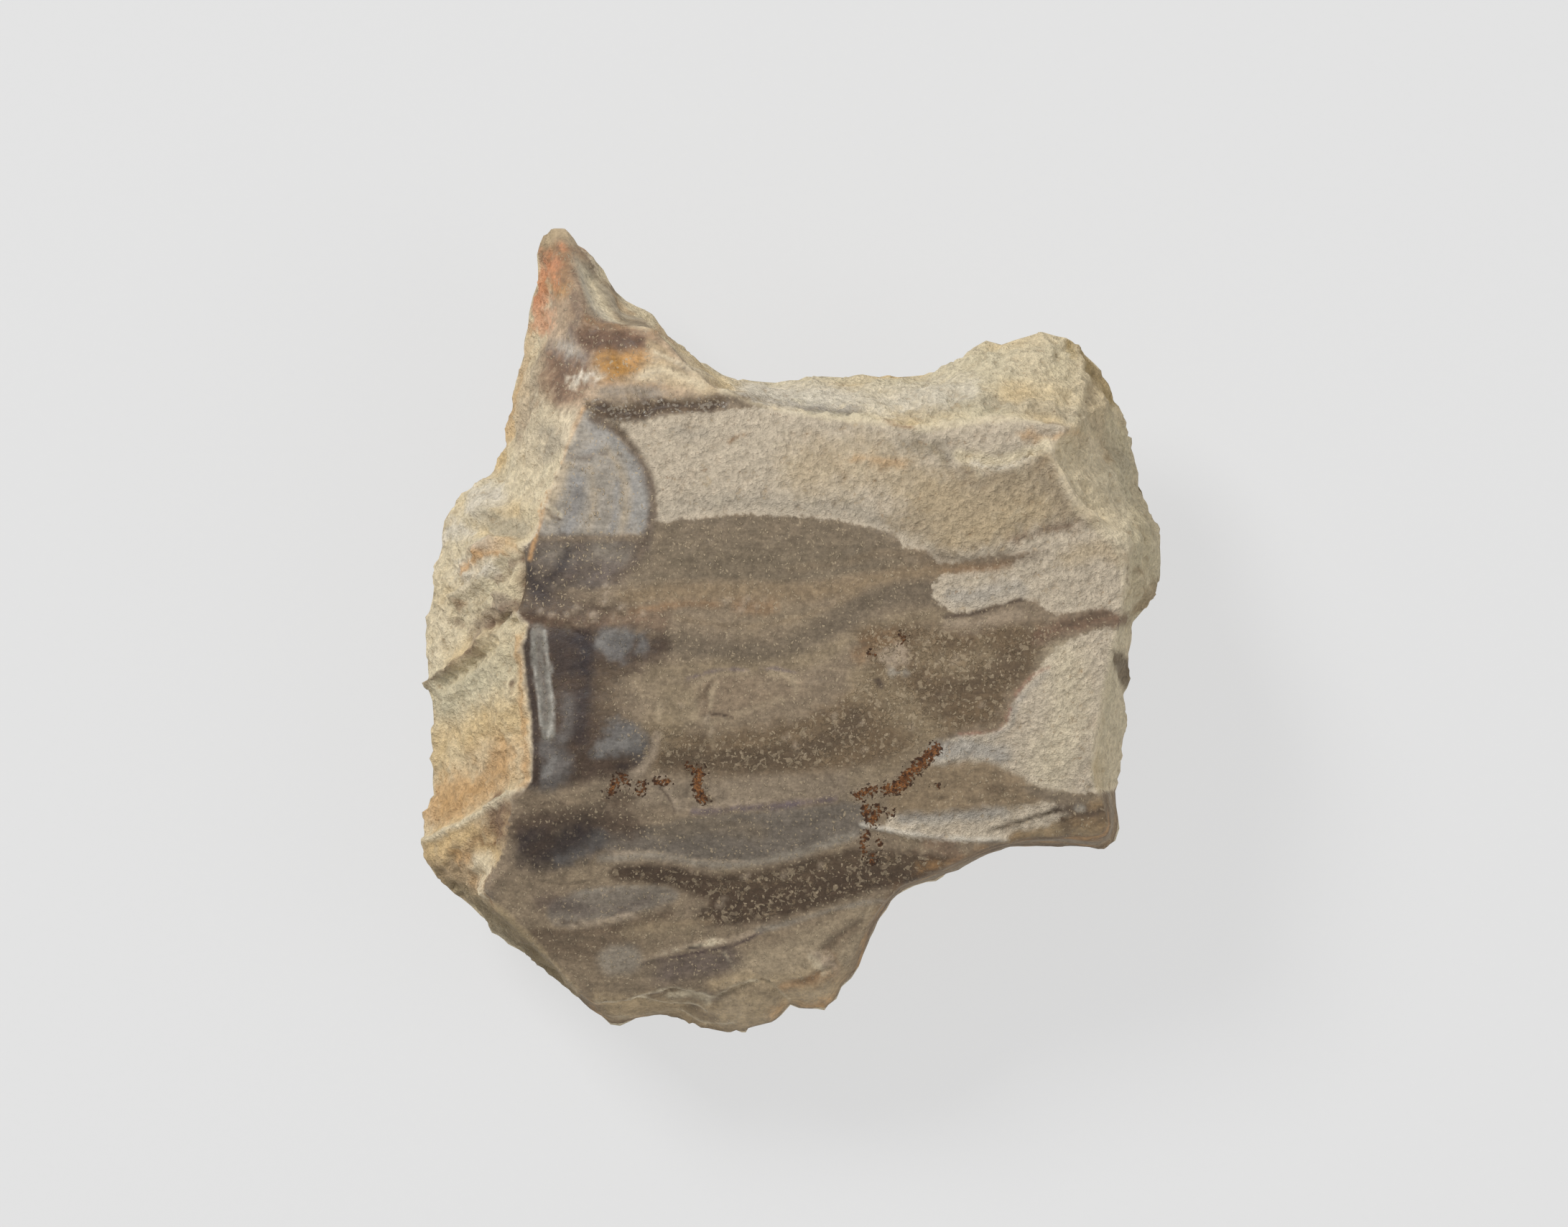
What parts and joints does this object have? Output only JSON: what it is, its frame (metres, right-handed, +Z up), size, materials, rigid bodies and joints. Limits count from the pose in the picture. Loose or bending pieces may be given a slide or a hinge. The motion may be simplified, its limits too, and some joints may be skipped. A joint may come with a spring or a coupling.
{
  "type": "flint nodule",
  "caption": "Hand-sized knapped flint block with a horn at one corner, a broad banded brown and cream face and chalky crust.",
  "frame": {"origin": "on the surface the stone lies on, under the middle of its bounding box", "axes": "+Z up through the broad struck face, +Y along the stone's length towards the horn, +X to the right seen from above with the horn at the far left"},
  "size_m": [0.092, 0.1, 0.0413],
  "materials": {
    "flint": "satin"
  },
  "bodies": {
    "root": {"flint_nodule": "flint"}
  },
  "joints": []
}
